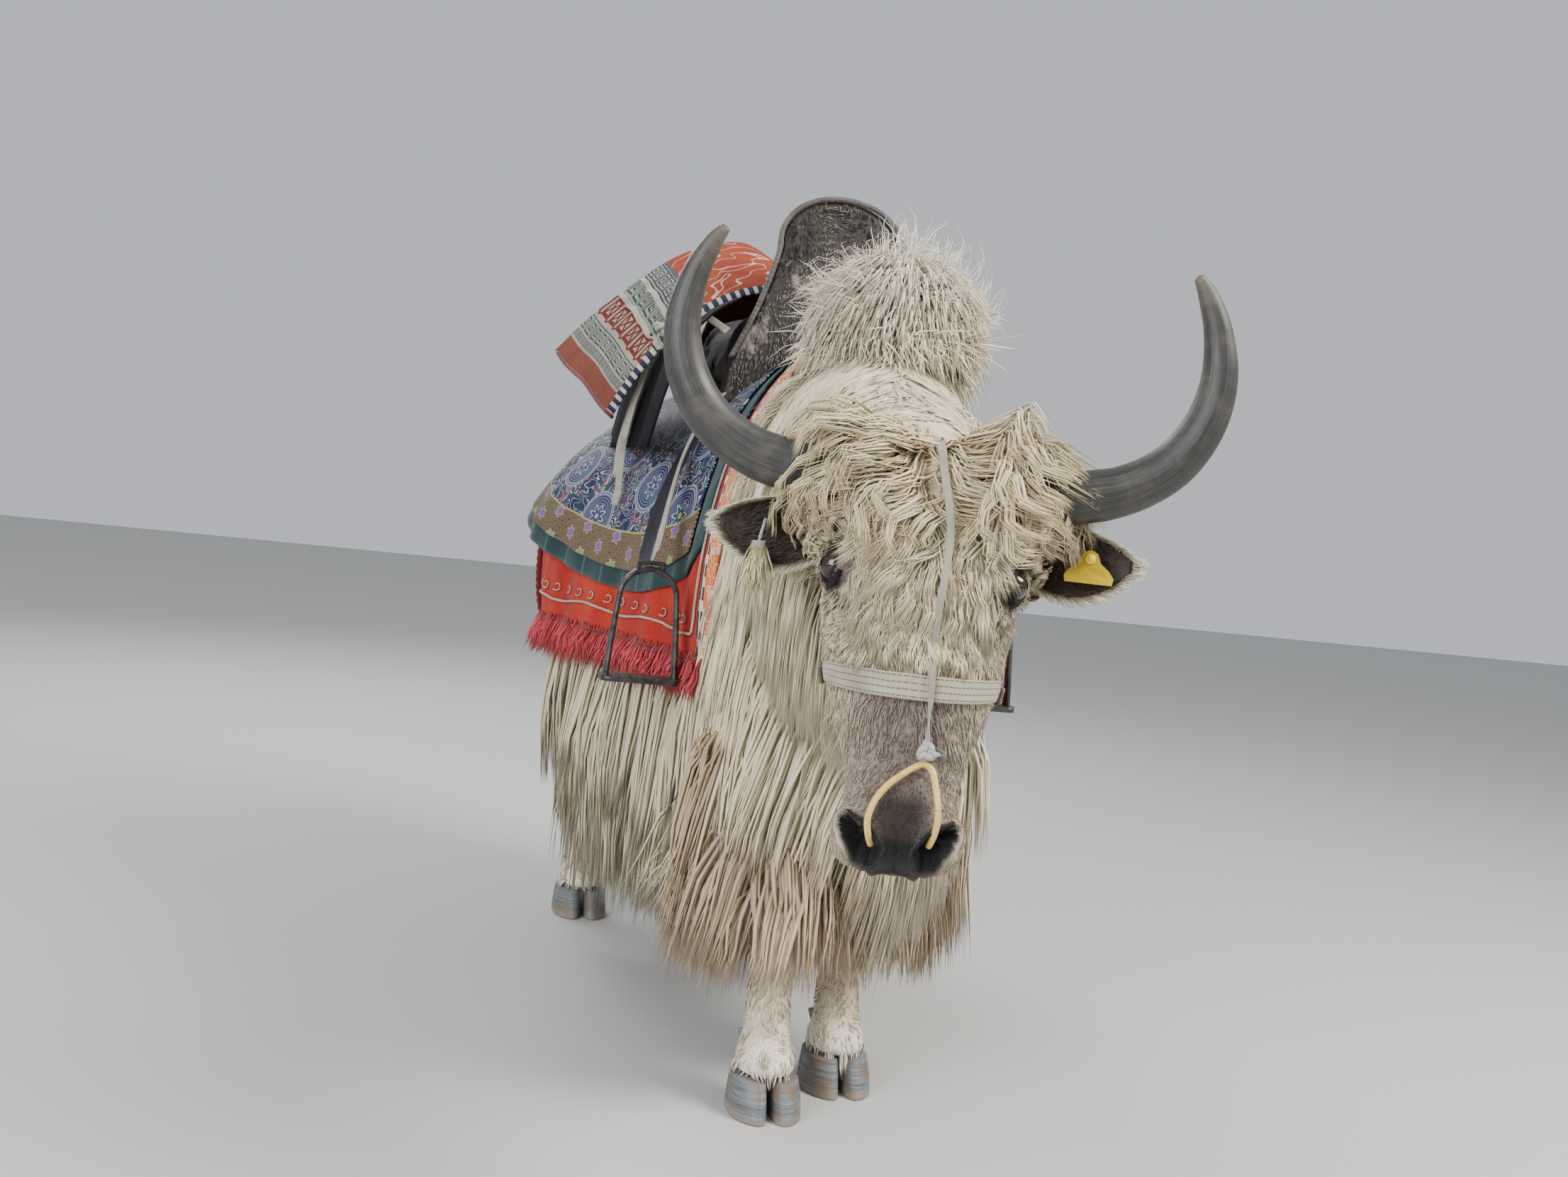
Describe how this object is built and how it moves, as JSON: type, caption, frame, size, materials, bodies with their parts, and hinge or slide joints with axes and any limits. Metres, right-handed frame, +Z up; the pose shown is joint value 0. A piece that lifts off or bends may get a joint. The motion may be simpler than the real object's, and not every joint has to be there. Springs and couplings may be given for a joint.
{
  "type": "saddled domestic yak",
  "caption": "Life-size standing cream yak with upswept horns, long skirt of hair and lowered head, wearing a high wooden saddle over layered cloths, stirrups, a halter, an ear tag and a tassel.",
  "frame": {"origin": "middle of the underside of the bounding box, on the floor the hooves stand on", "axes": "the yak faces -Y, its left side is +X, and +Z is up"},
  "size_m": [0.8102, 1.9514, 1.362],
  "materials": {
    "long_hair": "long wavy hair",
    "leg_hair": "short hair",
    "hoof": "worn keratin",
    "horn": "smooth keratin",
    "ear_hair": "short hair",
    "eyeball": "wet and dark",
    "brocade": "woven pattern",
    "plaid": "woven checks",
    "red_felt": "felt with a shaggy fringe",
    "rug_wool": "woven wool",
    "seat_cloth": "padded cloth",
    "hide_on_wood": "hairy hide over wood",
    "saddle_wood": "worn wood",
    "webbing": "flat webbing",
    "iron": "dark forged iron",
    "canvas": "canvas tape",
    "nose_cord": "twisted cord",
    "tag": "bare yellow tag",
    "yarn": "loose yarn"
  },
  "bodies": {
    "root": {"torso": "long_hair", "chest": "long_hair", "flank_left": "long_hair", "flank_right": "long_hair", "neck": "long_hair", "hump": "long_hair", "head": "long_hair", "tail": "long_hair", "leg_fore_left": "leg_hair", "leg_fore_right": "leg_hair", "leg_hind_left": "leg_hair", "leg_hind_right": "leg_hair", "claw_fore_left_outer": "hoof", "claw_fore_left_inner": "hoof", "claw_fore_right_outer": "hoof", "claw_fore_right_inner": "hoof", "claw_hind_left_outer": "hoof", "claw_hind_left_inner": "hoof", "claw_hind_right_outer": "hoof", "claw_hind_right_inner": "hoof", "horn_left": "horn", "horn_right": "horn", "ear_left": "ear_hair", "ear_right": "ear_hair", "eye_left": "eyeball", "eye_right": "eyeball", "brocade_cloth": "brocade", "plaid_cloth": "plaid", "felt_pad": "red_felt", "rug": "rug_wool", "seat": "seat_cloth", "pommel": "hide_on_wood", "cantle": "saddle_wood", "stirrup_strap_left": "webbing", "stirrup_strap_right": "webbing", "stirrup_left": "iron", "stirrup_right": "iron", "noseband": "canvas", "face_strap": "canvas", "knot": "canvas", "nose_loop": "nose_cord", "ear_tag": "tag", "ear_tassel": "yarn"}
  },
  "joints": []
}
